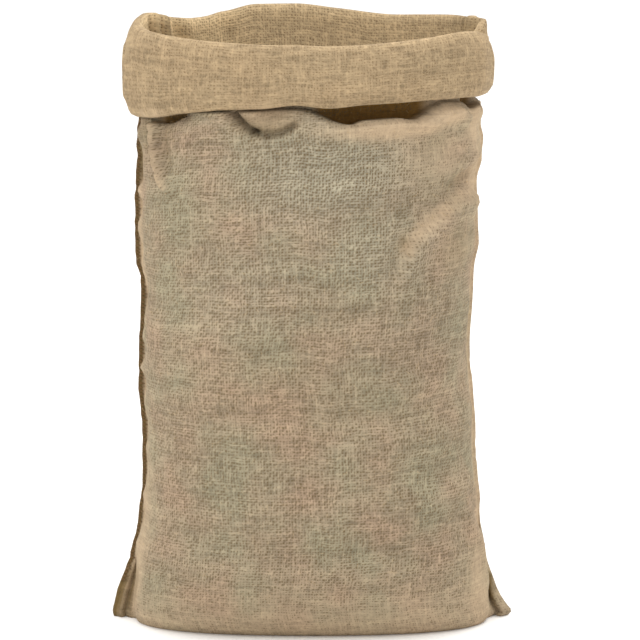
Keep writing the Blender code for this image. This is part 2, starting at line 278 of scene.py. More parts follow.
# Folds: ridges and troughs along a route on the cloth, each point of it a place across the cut and a
# height. Rise is how far the fold stands out of the wall, less than nothing for a trough. Above and below
# are how far it spreads to the left and to the right of its route.
Fold = namedtuple("Fold", "rise above below route")
WALL_FOLDS = rows_of(Fold, (
    # Under the cuff, from left to right.
    (-8, 12, 7, ((80, 546), (98, 549), (120, 555))),
    (4, 12, 12, ((138, 550), (162, 552))),
    (8, 8, 8, ((192, 566), (206, 556), (224, 553), (242, 560))),
    (-15, 4, 1.8, ((168, 568), (175, 561), (183, 553), (191, 546), (200, 541))),
    (-7, 6, 3, ((200, 541), (213, 539), (228, 543), (240, 551))),
    (7, 2.4, 15, ((166, 557), (179, 547), (192, 538), (213, 534), (232, 538), (246, 548))),
    (6, 2, 13, (
        (258, 559), (270, 554), (286, 547), (302, 546), (318, 550), (350, 551), (372, 548), (388, 557),
    )),
    (-4, 14, 14, ((286, 524), (340, 528), (400, 530))),
    (11, 5, 13, ((386, 551), (398, 557), (413, 558), (428, 555), (438, 549))),
    (5, 8, 12, ((474, 552), (496, 544))),
    # The crease that runs down from the right side.
    (-6, 9, 13, (
        (486, 470), (446, 475), (414, 467), (394, 459), (376, 448), (362, 434), (352, 418), (346, 400),
    )),
    (7, 14, 7, (
        (486, 452), (446, 457), (416, 449), (398, 441), (382, 430), (370, 418), (361, 404), (356, 388),
    )),
    (-5, 10, 8, ((462, 488), (440, 486), (422, 480))),
    (3, 10, 12, ((372, 372), (404, 388), (440, 404))),
    (4, 9, 8, ((482, 504), (460, 500), (440, 496))),
    # Down the left side of the front.
    (8, 4, 3.2, ((63, 552), (67, 538), (71, 519), (76, 500), (88, 481), (106, 470))),
    (-7, 7, 6, ((47, 548), (54, 522), (59, 500))),
    (-8, 8, 10, ((80, 544), (85, 520), (92, 499))),
    # Slack in the front.
    (3.2, 14, 18, ((300, 203), (380, 214), (474, 232))),
    (3.2, 14, 20, ((280, 128), (372, 140), (462, 160))),
    (-3.0, 16, 16, ((330, 166), (400, 178), (470, 196))),
    (2.8, 14, 18, ((330, 262), (400, 280), (462, 306))),
    (-2.6, 16, 16, ((300, 236), (380, 250), (450, 268))),
    (3.0, 20, 22, ((60, 330), (120, 318), (190, 316))),
    (-3.0, 22, 20, ((70, 236), (150, 240), (230, 252))),
    (2.6, 18, 22, ((52, 180), (120, 172), (200, 184))),
    (-2.6, 18, 18, ((150, 420), (200, 408), (262, 416))),
    (-3, 16, 16, ((220, 90), (300, 96), (420, 110))),
    # Up the two sides from the ears, and along the fold at the right.
    (4, 8, 12, ((496, 40), (478, 84), (452, 112))),
    (-4, 10, 8, ((502, 96), (484, 128), (462, 148))),
    (4, 12, 8, ((524, 40), (546, 96), (570, 132))),
    (-4, 8, 10, ((518, 110), (540, 150), (566, 176))),
    (-4, 10, 10, ((994, 84), (968, 120), (940, 140))),
    (4, 10, 10, ((988, 130), (960, 164), (930, 180))),
    (-6, 10, 10, ((532, 514), (556, 496), (584, 486))),
    (6, 10, 10, ((520, 488), (556, 468), (588, 462))),
    # The back.
    (-10, 13, 11, ((566, 538), (614, 514), (660, 470), (704, 440))),
    (9, 10, 14, ((560, 500), (606, 470), (646, 432), (676, 396))),
    (-8, 12, 12, ((1000, 505), (960, 492), (900, 462), (846, 442))),
    (8, 10, 12, ((996, 478), (950, 462), (904, 436), (860, 408))),
    (-6, 14, 10, ((700, 548), (748, 538), (800, 546))),
    (6, 20, 24, ((610, 318), (700, 300), (800, 318), (900, 350))),
    (-6, 18, 20, ((590, 250), (700, 240), (820, 262))),
    (5, 18, 24, ((660, 128), (760, 112), (880, 136))),
    (-5, 16, 18, ((720, 172), (840, 186), (930, 212))),
))
# Folds in the neck and the rim: pinches at the left end of the mouth, and the corner at its right end.
NECK_FOLDS = rows_of(Fold, (
    (7, 4, 4, ((976, 630), (974, 585))),
    (-7, 4, 4, ((966, 640), (963, 590))),
    (7, 4, 4, ((956, 630), (954, 595))),
    (-6, 4, 5, ((945, 640), (942, 596))),
    (7, 5, 8, ((930, 628), (921, 600))),
    (-4, 8, 8, ((908, 640), (902, 600))),
    (4, 6, 10, ((872, 640), (862, 600))),
    (4, 8, 8, ((488, 632), (490, 590))),
    (-6, 5, 6, ((512, 640), (512, 596))),
    (6, 4, 5, ((530, 640), (528, 592))),
    (-8, 5, 7, ((544, 640), (540, 596))),
    (4, 6, 10, ((566, 640), (564, 600))),
))
# Folds in the cuff's outer face.
CUFF_FOLDS = rows_of(Fold, (
    (2.2, 5, 5, ((2, 610), (3, 560))),
    (-2.6, 5, 6, ((14, 606), (13, 556))),
    (2, 10, 10, ((30, 600), (34, 562))),
    (1.5, 4, 4, ((500, 630), (498, 572))),
    (-1.6, 4, 4, ((491, 622), (489, 576))),
    (-1.6, 8, 8, ((478, 612), (476, 578))),
    (-1.4, 8, 8, ((96, 612), (180, 604), (240, 610))),
    (1.2, 10, 10, ((120, 590), (210, 584), (300, 590))),
    (-1.4, 7, 7, ((300, 600), (380, 596), (440, 604))),
    (-1.8, 12, 12, ((620, 600), (700, 588), (780, 596))),
    (1.8, 12, 12, ((820, 590), (900, 582), (960, 590))),
))

# One stitch of the looper thread: which face it is on (front 1, back -1), how far in from the edge in
# millimetres, and how far along as a share of the pitch.
Step = namedtuple("Step", "side depth along")
OVERLOCK = rows_of(Step, (
    (1, 0.3, 0.0),
    (1, 3.0, 0.12),
    (1, 6.2, 0.25),
    (1, 3.0, 0.38),
    (1, 0.3, 0.5),
    (-1, 0.3, 0.5),
    (-1, 3.0, 0.62),
    (-1, 6.2, 0.75),
    (-1, 3.0, 0.88),
    (-1, 0.3, 1.0),
))

# The cloth's tones are four shares: how smooth it is, its gaps closed, its streaks faint and in some places
# lighter as painted light; how far it takes its face's tint, grey outside and pale inside, the pale a painted
# light; how brown it is, partly painted shade; and how far it lies in a hollow, which paints its shade.
SMOOTH_AND_LIT, TINTED, BROWN_AND_SHADE, HOLLOW_SHADE = range(4)
EAR_BROWN = 0.5
PATCH_EDGE = 1.5  # how sharply a patch ends

# Where the outside is smoother, greyer or browner than usual, some of it painted light and shade as marked
# below. Across and up are how far a patch spreads.
Patch = namedtuple("Patch", "place height across up smooth tint brown")
PATCHES = rows_of(Patch, (
    (10, 400, 22, 90, 0.9, 0, 0),
    (8, 190, 18, 220, 0.7, 0, 0),
    (34, 130, 26, 90, 0.55, 0, 0),
    # Browner under the cuff at the left and up the seam edge: painted shade, with the thread's brown at the
    # seam.
    (30, 524, 22, 28, 0.2, 0, 0.32),
    (91, 528, 14, 26, 0.2, 0, 0.25),
    (5, 508, 9, 50, 0, 0, 0.9),
    # Browner as painted shade in the pockets under the cuff.
    (84, 550, 16, 10, 0.5, 0, 0.9),
    (484, 556, 9, 8, 0.5, 0, 0.8),
    (461, 556, 9, 4, 0, 0, 0.8),
    # Lighter as painted light: the dome under the cuff at the right.
    (408, 556, 30, 16, 1.0, 0, 0),
    (255, 0, 300, 52, 0.5, 0, 0),
    (30, 60, 28, 66, 0.8, 0, 0),
    (468, 40, 34, 64, 0.7, 0, 0),
    (505, 490, 44, 80, 0.9, 0, 0),
    (508, 230, 14, 240, 0.7, 0, 0),
    (395, 512, 50, 34, 0.45, 0, 0),
    # The crease at the right: smoother along its band, browner in its dent as painted shade.
    (434, 412, 44, 24, 0.4, 0, 0.2),
    (452, 482, 22, 8, 0.5, 0, 0.25),
    (356, 426, 7, 9, 0.3, 0, 0.4),
    (345, 545, 80, 14, 0.9, 0, 0),
    # Lighter as painted light: the shoulder under the cuff at the right.
    (470, 540, 36, 30, 0.9, 0, 0),
    (212, 556, 34, 15, 0.6, 0, 0.3),
    # The left ear's brown stripes: partly the thread's brown, partly painted shade in its folds and by the
    # wall.
    (17, 30, 3.5, 30, 0, 0, 0.95),
    (6, 24, 3.6, 34, 0, 0, 0.95),
    (33, 38, 7, 22, 0, 0, 0.5),
    (275, 500, 90, 56, 0, 1.0, 0),
    (330, 420, 70, 50, 0, 0.6, 0),
    (200, 380, 80, 60, 0, 0.35, 0),
    (350, 330, 90, 50, 0, 0.25, 0),
    (250, 290, 130, 70, 0, 0, 0.08),
))

# Lines of smoother, lighter cloth along the crests of the two plainest creases: painted highlight where the
# crests catch the light. The rise is how smooth.
HIGHLIGHT_LINES = rows_of(Fold, (
    (0.7, 9, 7, ((489, 457), (440, 464), (411, 456), (395, 449), (378, 439), (366, 428), (360, 420))),
    (0.2, 8, 8, ((358, 416), (351, 402), (348, 388))),
    (0.8, 3.6, 3.2, ((61, 552), (66, 538), (70, 519), (75, 500), (87, 483), (98, 475))),
))

# Lines of painted shade, brown, in the deepest fold of the right ear. The rise is how brown.
FOLD_SHADE_LINES = rows_of(Fold, (
    (1.0, 5, 5, ((508, 46), (504, 36), (501, 28), (499, 22))),
    (0.5, 4, 4, ((498, 18), (495, 8))),
))

# Folds of the two corner ears. A place here is how far in from the ear's own edge.
LEFT_EAR_FOLDS = rows_of(Fold, (
    (3.5, 2.5, 2.5, ((9, 2), (10, 30), (8, 58))),
    (-4, 2.5, 3, ((14, 2), (15, 30), (12, 60))),
    (2.5, 3, 3, ((20, 2), (19, 40))),
))
RIGHT_EAR_FOLDS = rows_of(Fold, (
    (-9, 11, 11, ((0, 0), (0, 24))),
    (3, 3, 3, ((8, 4), (8, 24), (4, 44))),
    (-10, 4, 4, ((16, 0), (14, 26), (10, 52))),
))

# The inside below the rim, paler as painted light: its tint at least, the places between which it comes
# to be as pale as it can, and the brown lines of painted shade up its corners.
INSIDE_PAINTED_LIGHT = 0.45
INSIDE_PAINTED_LIGHT_GROWS = (815, 880)
Line = namedtuple("Line", "place spread brown")
INSIDE_SHADE_LINES = (Line(556, 24, 0.45), Line(963, 3.5, 0.5), Line(944, 3.5, 0.4))

# Gathers along the seam, where the thread has drawn the cloth up.
Pucker = namedtuple("Pucker", "height spread rise")
SEAM_PUCKERS = rows_of(Pucker, (
    (520, 9, 3.2),
    (500, 8, -4.0),
    (477, 9, -5.6),
    (459, 7, 4.8),
    (443, 9, -5.6),
    (418, 9, 3.52),
    (396, 8, -2.4),
    (370, 9, 2.88),
    (348, 8, -2.88),
    (322, 9, 2.88),
    (304, 8, 3.84),
    (287, 8, -5.6),
    (269, 7, 5.12),
    (252, 8, -3.52),
    (232, 9, 2.56),
    (208, 8, -3.2),
    (184, 9, 2.4),
    (160, 8, -3.52),
    (134, 9, 2.56),
    (110, 8, -3.2),
    (84, 9, 2.24),
))


# ---------------------------------------------------------------- the shape of the hung cloth


def curve_through(xs, ys, at):
    """Read a smooth curve through the points of a table, without overshoot past a level stretch."""
    xs = np.asarray(xs, float)
    ys = np.asarray(ys, float)
    steps = np.diff(xs)
    slopes = np.diff(ys) / steps
    turns = np.zeros(len(xs))
    weights = (2 * steps[1:] + steps[:-1], steps[1:] + 2 * steps[:-1])
    same_way = slopes[:-1] * slopes[1:] > 0
    before = np.where(same_way, slopes[:-1], 1)
    after = np.where(same_way, slopes[1:], 1)
    turns[1:-1] = np.where(same_way, sum(weights) / (weights[0] / before + weights[1] / after), 0)
    turns[0] = slopes[0]
    turns[-1] = slopes[-1]
    at = np.clip(at, xs[0], xs[-1])
    i = np.clip(np.searchsorted(xs, at, side="right") - 1, 0, len(steps) - 1)
    t = (at - xs[i]) / steps[i]
    start = (1 + 2 * t) * (1 - t) ** 2 * ys[i] + t * (1 - t) ** 2 * steps[i] * turns[i]
    end = t * t * (3 - 2 * t) * ys[i + 1] + t * t * (t - 1) * steps[i] * turns[i + 1]
    return start + end


def level_at(height):
    """The section of the body at one height, between the rows of its table."""
    columns = list(zip(*LEVELS))
    return Level(height, *(float(curve_through(columns[0], column, height)) for column in columns[1:]))


def round_the_sack(table, column, places):
    """Read one column of a table at places round the sack. The table closes on itself."""
    first, second, last = table[0], table[1], table[-1]
    rows = (last._replace(place=last.place - CUT_WIDTH),) + table
    rows += (first._replace(place=CUT_WIDTH), second._replace(place=CUT_WIDTH + second.place))
    return curve_through([row.place for row in rows], [getattr(row, column) for row in rows], places)


def smooth_step(start, end, at):
    """Go softly from 0 at the start to 1 at the end."""
    t = np.clip((at - start) / (end - start), 0, 1)
    return t * t * (3 - 2 * t)


def bell(at, middle, spread):
    """Rise softly to 1 at the middle, and fall off again on both sides."""
    return np.exp(-(((at - middle) / spread) ** 2))


def from_seam(places):
    """How far each place is from the seam, by the shorter way round."""
    return np.minimum(places, CUT_WIDTH - places)


def flat_edge(root, way, length, lean, sides_at, side):
    """One layer of a flat edge, tip first: both layers share the tip and run to the wall side by side."""
    out = np.array([way * math.cos(lean), math.sin(lean)])
    across = np.array([-way * math.sin(lean), math.cos(lean)]) * side * EDGE_GAP / 2
    tip = np.array([root, sides_at]) + out * length
    return [tip, tip - out * EDGE_GAP / 2 + across, np.array([root, sides_at]) + across]


def lengths_along(line):
    """How far along an open line each of its points is."""
    return np.r_[0, np.cumsum(np.linalg.norm(np.diff(line, axis=0), axis=1))]


def points_at(line, along, at):
    """The points this far along an open line, whose own points are these lengths along it."""
    return np.stack([np.interp(at, along, line[:, axis]) for axis in (0, 1)], axis=1)


def eased(line):
    """Round an open line's corners as cloth would, with its two ends left where they are."""
    along = lengths_along(line)
    points = points_at(line, along, np.linspace(0, along[-1], int(along[-1] * EASE_STEPS) + 1))
    spread = EASE_STEPS * EASE
    reach = int(3 * spread)
    weights = np.exp(-0.5 * (np.arange(-reach, reach + 1) / spread) ** 2)
    weights /= weights.sum()
    before = 2 * points[0] - points[reach:0:-1]
    after = 2 * points[-1] - points[-2 : -reach - 2 : -1]
    padded = np.concatenate([before, points, after])
    return np.stack([np.convolve(padded[:, axis], weights, "valid") for axis in (0, 1)], axis=1)


def half_section(level, side, places):
    """The front (side -1) or the back (side 1) of one level section, at places from the seam to the fold."""
    middle = (level.right - level.left) / 2
    half_width = (level.right + level.left) / 2
    depth = level.front if side < 0 else level.back
    turn = np.linspace(0, math.pi, ARC_STEPS + 1)[1:-1]
    across = -np.sign(np.cos(turn)) * np.abs(np.cos(turn)) ** (2 / level.squareness)
    out = np.sin(turn) ** (2 / level.squareness)
    wall = np.stack([middle + half_width * across, side * depth * out + level.sides_at * (1 - out)], axis=1)
    left = flat_edge(-level.left, -1, level.seam_edge, SEAM_LEAN, level.sides_at, side)
    right = flat_edge(level.right, 1, level.fold_edge, FOLD_LEAN, level.sides_at, side)
    line = [left[0]] + left[1:] * (level.seam_edge > EDGE_GAP)
    line += list(wall[np.abs(wall[:, 1] - level.sides_at) > EDGE_GAP])
    line += right[:0:-1] * (level.fold_edge > EDGE_GAP) + [right[0]]
    line = eased(np.array(line))
    along = lengths_along(line)
    return points_at(line, along, places / places[-1] * along[-1])


def section(level, places):
    """A whole level section, one point for each place round the sack."""
    front_places = places[: len(places) // 2 + 1]
    front = half_section(level, -1, front_places)
    back = half_section(level, 1, front_places)
    return np.concatenate([front, back[-2:0:-1]])


def outward(ring):
    """Unit directions out of a closed ring of points that runs from the left by the front."""
    along = np.roll(ring, -1, axis=0) - np.roll(ring, 1, axis=0)
    out = np.stack([along[:, 1], -along[:, 0]], axis=1)
    return out / np.linalg.norm(out, axis=1)[:, None]


def fold_rise(folds, places, heights):
    """How far all the folds together move the cloth in or out."""
    here = np.stack([places, heights], axis=1)
    total = np.zeros(len(places))
    for fold in folds:
        nearest = np.full(len(places), np.inf)
        reach = np.ones(len(places))
        for start, end in zip(fold.route[:-1], fold.route[1:]):
            run = np.subtract(end, start).astype(float)
            away = here - start
            share = np.clip(away @ run / (run @ run), 0, 1)
            off = away - share[:, None] * run
            distance = np.linalg.norm(off, axis=1)
            turn = (run[0] * off[:, 1] - run[1] * off[:, 0]) / (np.linalg.norm(run) * distance + 1e-9)
            side = (1 + turn) / 2
            closer = distance < nearest
            nearest = np.where(closer, distance, nearest)
            reach = np.where(closer, fold.above * side + fold.below * (1 - side), reach)
        total += fold.rise * bell(nearest, 0, reach)
    return total


def pucker_rise(places, heights):
    """The gathers beside the seam: on the front of it and, half as deep, on the back."""
    beside = from_seam(places)
    near = smooth_step(*PUCKERS_GROW, beside) * (1 - smooth_step(*PUCKERS_FADE, beside))
    total = sum(pucker.rise * bell(heights, pucker.height, pucker.spread) for pucker in SEAM_PUCKERS)
    return total * near * np.where(places < CUT_WIDTH / 2, 1.0, 0.5)


def crumple(crumples, points):
    """How far the cloth's soft lumps raise it at these points."""
    total = 0
    for rise, size, seed in crumples:
        shift = Vector([seed * step for step in SEED_STEPS])
        total = total + rise * np.array([noise.noise(Vector(point) / size + shift) for point in points])
    return total


def stray(waves, height):
    """How far the seam edge strays at a height, in waves that run up it."""
    return sum(
        wave.rise * noise.noise(Vector((height / wave.size, wave.seed * EDGE_SEED_STEP, 0.5)))
        for wave in waves
    )


def ear_sway(places, heights):
    """The folds of both corner ears, in which the front and the back layer stay together."""
    from_fold = np.abs(CUT_WIDTH / 2 - places)
    left = fold_rise(LEFT_EAR_FOLDS, from_seam(places), heights)
    return left + fold_rise(RIGHT_EAR_FOLDS, from_fold, heights)


def column_places():
    """Places of the grid's columns round the sack: close together at the edges and where the front folds."""
    places = list(EDGE_COLUMNS)
    for run in COLUMN_RUNS:
        places += list(np.linspace(places[-1], run.to_place, run.columns + 1)[1:])
    front = np.concatenate([places, CUT_WIDTH / 2 - np.array(EDGE_COLUMNS[-2::-1])])
    return np.concatenate([front, CUT_WIDTH - front[-2:0:-1]])


def wall_row_heights(floor):
    """Heights of the grid's rows up the wall: close together at the floor's edge and under the cuff."""
    return np.concatenate([[floor], LOW_ROWS, *(np.linspace(*stretch) for stretch in ROW_STRETCHES)])


def tones_at(places, heights):
    """The outside's tones: for each place a colour whose four channels are the shares named above."""
    tones = np.zeros((len(places), 4))
    for patch in PATCHES:
        off = ((places - patch.place) / patch.across) ** 2 + ((heights - patch.height) / patch.up) ** 2
        shares = np.outer(np.exp(-(off**PATCH_EDGE)), (patch.smooth, patch.tint, patch.brown))
        tones[:, :HOLLOW_SHADE] = np.maximum(tones[:, :HOLLOW_SHADE], shares)
    for tone, lines in ((SMOOTH_AND_LIT, HIGHLIGHT_LINES), (BROWN_AND_SHADE, FOLD_SHADE_LINES)):
        shares = np.clip(fold_rise(lines, places, heights), 0, 1)
        tones[:, tone] = np.maximum(tones[:, tone], shares)
    beside = from_seam(places)
    # Browner along the seam edge, partly the thread's brown and partly painted shade, and on the left ear.
    thread = 1 - smooth_step(*SEAM_BROWN_AND_SHADE_FADES, beside)
    ear = (1 - smooth_step(*EAR_BROWN_FADES, beside)) * (1 - smooth_step(*EAR_BROWN_ENDS, heights))
    tones[:, BROWN_AND_SHADE] = np.maximum.reduce([tones[:, BROWN_AND_SHADE], thread, EAR_BROWN * ear])
    return tones


# The hung cloth: its columns' places, how far up the cut its rows are, and its points and their tones.
Hung = namedtuple("Hung", "places ups rows tones")
# What all its rows share. All but the floor have one value for each place.
Guide = namedtuple("Guide", "places floor rim foot cuff_out lip hollow neck neck_out")


def wall_row(guide, row_height):
    """One row up the wall and its tones. The wall turns in behind its lip under the cuff."""
    places = guide.places
    wall = section(level_at(row_height), places)
    stretch = (guide.foot - guide.floor) / (CUFF_FOOT - guide.floor)
    heights = guide.floor + (row_height - guide.floor) * stretch
    drawn_in = smooth_step(guide.lip, guide.lip + LIP_TURN, heights)
    behind_lip = guide.neck - guide.neck_out * guide.hollow[:, None]
    wall = wall * (1 - drawn_in)[:, None] + behind_lip * drawn_in[:, None]
    rise = fold_rise(WALL_FOLDS, places, heights) + pucker_rise(places, heights)
    rise += crumple(WALL_CRUMPLES, np.column_stack([wall, heights]))
    heights = heights - LIP_DIP * guide.hollow * drawn_in
    beside = from_seam(places)
    rise *= (1 - drawn_in) * smooth_step(guide.floor, FOLDS_FULL, heights) * smooth_step(*FOLDS_GROW, beside)
    wall += outward(wall) * rise[:, None]
    loose = (1 - smooth_step(*EDGE_STRAYS_LESS, beside)) * smooth_step(*EDGE_STRAYS, heights)
    wall[:, 0] += loose * stray(EDGE_SIDEWAYS, heights[0])
    wall[:, 1] += loose * stray(EDGE_BACK_AND_FORTH, heights[0]) - ear_sway(places, heights)
    tones = tones_at(places, heights)
    # Painted shade: the cloth behind the lip darkens as the hollow deepens.
    tones[:, HOLLOW_SHADE] = smooth_step(*HOLLOW_SHADE_DEEPENS, guide.hollow) * drawn_in
    return np.column_stack([wall, heights]), tones


def neck_row(guide, share):
    """One row up the neck behind the cuff and its tones, this share of the way from the cuff's foot up."""
    heights = guide.foot + (guide.rim - RIM_DROP - guide.foot) * share
    out = fold_rise(NECK_FOLDS, guide.places, heights) * smooth_step(*NECK_FOLDS_GROW, share)
    out -= guide.hollow * (1 - smooth_step(*HOLLOW_CLOSES, share))
    out += guide.cuff_out * CUFF_TURNS[0].out * smooth_step(*RIM_LEANS_OUT, share)
    tones = np.zeros((len(guide.places), 4))
    # Paler as painted light, with lines of painted shade up the corners.
    tones[:, TINTED] = INSIDE_PAINTED_LIGHT + (1 - INSIDE_PAINTED_LIGHT) * smooth_step(*INSIDE_PAINTED_LIGHT_GROWS, guide.places)
    tones[:, BROWN_AND_SHADE] = sum(line.brown * bell(guide.places, line.place, line.spread) for line in INSIDE_SHADE_LINES)
    return np.column_stack([guide.neck + guide.neck_out * out[:, None], heights]), tones


def cuff_row(guide, along):
    """One row over the rim and down the cuff and its tones, this far along the cuff's cloth."""
    alongs, downs, outs = zip(*CUFF_TURNS)
    heights = guide.rim - (guide.rim - guide.foot) * float(curve_through(alongs, downs, along))
    face = smooth_step(*CUFF_FACE_STARTS, along) * (1 - smooth_step(*CUFF_FACE_ENDS, along))
    lumps = crumple(CUFF_CRUMPLES, np.column_stack([guide.neck, heights]))
    rise = fold_rise(NECK_FOLDS, guide.places, heights) * (1 - smooth_step(*NECK_FOLDS_FADE, along))
    rise += face * (fold_rise(CUFF_FOLDS, guide.places, heights) + lumps)
    out = guide.cuff_out * float(curve_through(alongs, outs, along)) + rise
    # The cuff shows the cloth's other face, which takes none of the outside's grey and brown.
    tones = tones_at(guide.places, heights)
    tones[:, TINTED:] = 0
    return np.column_stack([guide.neck + guide.neck_out * out[:, None], heights]), tones


@lru_cache
def hung_cloth(thickness):
    """The cloth as it hangs, worked out once for the cloth itself and for what is sewn to it."""
    places = column_places()
    neck = section(NECK, places)
    guide = Guide(
        places=places,
        floor=thickness / 2,
        rim=round_the_sack(MOUTH, "rim", places) - thickness / 2,
        foot=round_the_sack(MOUTH, "cuff_foot", places) + thickness / 2,
        cuff_out=round_the_sack(MOUTH, "cuff_out", places),
        lip=round_the_sack(LIPS, "height", places),
        hollow=round_the_sack(LIPS, "depth", places),
        neck=neck,
        neck_out=outward(neck),
    )
    hung = [wall_row(guide, height) for height in wall_row_heights(guide.floor)]
    hung += [neck_row(guide, share) for share in np.linspace(0, 1, NECK_ROWS + 1)[1:]]
    alongs = np.linspace(CUFF_TURNS[0].along, CUFF_TURNS[-1].along, CUFF_ROWS + 1)
    hung += [cuff_row(guide, along) for along in alongs[1:]]
    rows, tones = (np.array(part) for part in zip(*hung))
    # The bottom seam is a row of its own, halfway between the front and the back of the lowest one.
    behind = -np.arange(len(places))
    rows = np.concatenate([[(rows[0] + rows[0][behind]) / 2], rows])
    tones = np.concatenate([tones[:1], tones])
    rows[:, :, :2] -= FOOTPRINT_MIDDLE
    steps = np.linalg.norm(np.diff(rows, axis=0), axis=2).mean(axis=1)
    return Hung(places, np.r_[0, np.cumsum(steps)], rows, tones)


def on_cloth(hung, place, up, lift):
    """The point this far out from the middle of the cloth, at a place across the cut and a way up it."""
    stops = np.r_[hung.places, CUT_WIDTH]
    place = place % CUT_WIDTH
    column = min(int(np.searchsorted(stops, place, side="right")) - 1, len(hung.places) - 1)
    row = min(max(int(np.searchsorted(hung.ups, up, side="right")) - 1, 0), len(hung.ups) - 2)
    across = (place - stops[column]) / (stops[column + 1] - stops[column])
    rise = (up - hung.ups[row]) / (hung.ups[row + 1] - hung.ups[row])
    after = (column + 1) % len(hung.places)
    low_left, low_right = hung.rows[row, column], hung.rows[row, after]
    high_left, high_right = hung.rows[row + 1, column], hung.rows[row + 1, after]
    low = low_left + (low_right - low_left) * across
    high = high_left + (high_right - high_left) * across
    out = np.cross(low_right - low_left + high_right - high_left, high - low)
    return low + (high - low) * rise + out / (np.linalg.norm(out) + 1e-9) * lift


def swayed(sway, stitch):
    """How much larger or smaller than usual one stitch is."""
    return 1 + sway.share * math.sin(sway.turn * stitch)


def overlock_path(hung, pitch, off):
    """The looper thread's way up the seam edge, round it from one face to the other at each stitch."""
    points = []
    up = SEAM_START
    stitch = 0
    while up < SEAM_END:
        for step in OVERLOCK:
            depth = step.depth * swayed(BITE_SWAY, stitch)
            points.append(on_cloth(hung, step.side * depth, up + pitch * step.along, off))
        up += pitch * swayed(PITCH_SWAY, stitch)
        stitch += 1
    return points


def fibre_paths(hung, count):
    """Short loose fibres that stand off the cloth, each of them a bent path of a few points."""
    chance = random.Random(FIBRE_SEED)
    paths = []
    for _ in range(count):
        place = chance.uniform(0, CUT_WIDTH)
        up = chance.uniform(FIBRES_FROM, hung.ups[-1])
        side = -1 if up > ON_THE_CUFF else 1
        run = chance.uniform(-FIBRE_RUN, FIBRE_RUN)
        rise = chance.uniform(-FIBRE_RUN, FIBRE_RUN)
        stand = chance.uniform(*FIBRE_STAND)
        paths.append([
            on_cloth(hung, place + run * t, up + rise * t, side * (FIBRE_FOOT + stand * lift))
            for t, lift in FIBRE_PATH
        ])
    return paths


# ---------------------------------------------------------------- making things in Blender


def colour(hex_value):
    """Turn an sRGB hex colour into the linear colour that a shader works in."""
    channels = [int(hex_value[i : i + 2], 16) / 255 for i in (1, 3, 5)]
    return [c / 12.92 if c <= 0.04045 else ((c + 0.055) / 1.055) ** 2.4 for c in channels] + [1.0]


def add_node(tree, kind, feeds=(), **settings):
    """Add a node with its settings, and feed its inputs from other nodes or with plain values."""
    node = tree.nodes.new("ShaderNode" + kind)
    for name, value in settings.items():
        setattr(node, name, value)
    in_use = [socket for socket in node.inputs if socket.enabled]
    for key, feed in feeds.items() if isinstance(feeds, dict) else enumerate(feeds):
        socket = in_use[key] if isinstance(key, int) else node.inputs[key]
        if isinstance(feed, bpy.types.Node):
            feed = next(output for output in feed.outputs if output.enabled)
        if isinstance(feed, bpy.types.NodeSocket):
            tree.links.new(feed, socket)
        else:
            socket.default_value = feed
    return node


def start_material(name):
    """A new material with an empty tree, and add_node for that tree."""
    material = bpy.data.materials.new(name)
    material.use_nodes = True
    material.node_tree.nodes.clear()
    return material, partial(add_node, material.node_tree)


def deselect_all():
    """Leave nothing selected, so an operator acts on its own new piece alone."""
    if bpy.context.object and bpy.context.object.mode != "OBJECT":
        bpy.ops.object.mode_set(mode="OBJECT")
    bpy.ops.object.select_all(action="DESELECT")


# How uneven sacking is. These are sizes on the flat cut, in metres,
WANDER_SIZE = 0.03  # over which a yarn wanders off its line
LYING_SIZE = 0.026  # over which the upright or the level yarns lie on top
LINT_SIZE = 0.0026  # of the lint on the yarns
TINGE_SIZE = 0.07  # of the faint greenish and pinkish patches
CLOSING_SIZE = 0.012  # over which the gaps are wide or nearly shut
BUMP_HEIGHT = 0.0006
# these are counts of yarns,
WANDER_REACH = 2.2  # how far a yarn wanders
SPACING_REACH = 1.1  # how far yarns crowd together
HALF_WIDTHS = (0.36, 0.56)  # of a thin and a thick stretch of yarn, with no gaps beside it
WIDTHS_LOST = (0.06, 0.03)  # how much narrower each is beside the widest gaps
# these are how fast noise changes from one yarn to the next,
SPACING_WAVES = (0.42, 0.07)  # of the spacing: across the yarns and along them
SLUB_WAVES = (7.31, 0.11)  # of the thickness: across, where each yarn is its own, and along
SETS_APART = 40.0  # from the noise of the upright yarns to that of the level ones
SPACING_APART = 11.0
# and these are shares.
LYING_RISE = 0.7  # how far the yarns that lie on top stand up
WEAVE_RISE = 0.18  # how far a yarn rises over each one it crosses
CROWN_RISE = 1.2  # how far it rises to its own middle
TOP_YARN_TONE = (0.4, 0.3)  # of the level yarns' tone: how much more where they are on top, and at least
LINT_TONE = 0.3
LINT_RISE = 0.8
CROSSING_TONE = 0.1
CALM = 0.6  # how far smoothness evens out the tones
COVERED = 0.65  # how far it hides the gaps
Band = namedtuple("Band", "waves detail roughness tone")
BANDS = (Band((0.035, 0.5, 0.0), 2.0, 0.6, 0.28), Band((0.012, 0.12, 0.0), 1.0, 0.5, 0.3))

# One face of the sacking. Openness is how wide its gaps are.
Face = namedtuple("Face", "yarn dull tint gap openness")


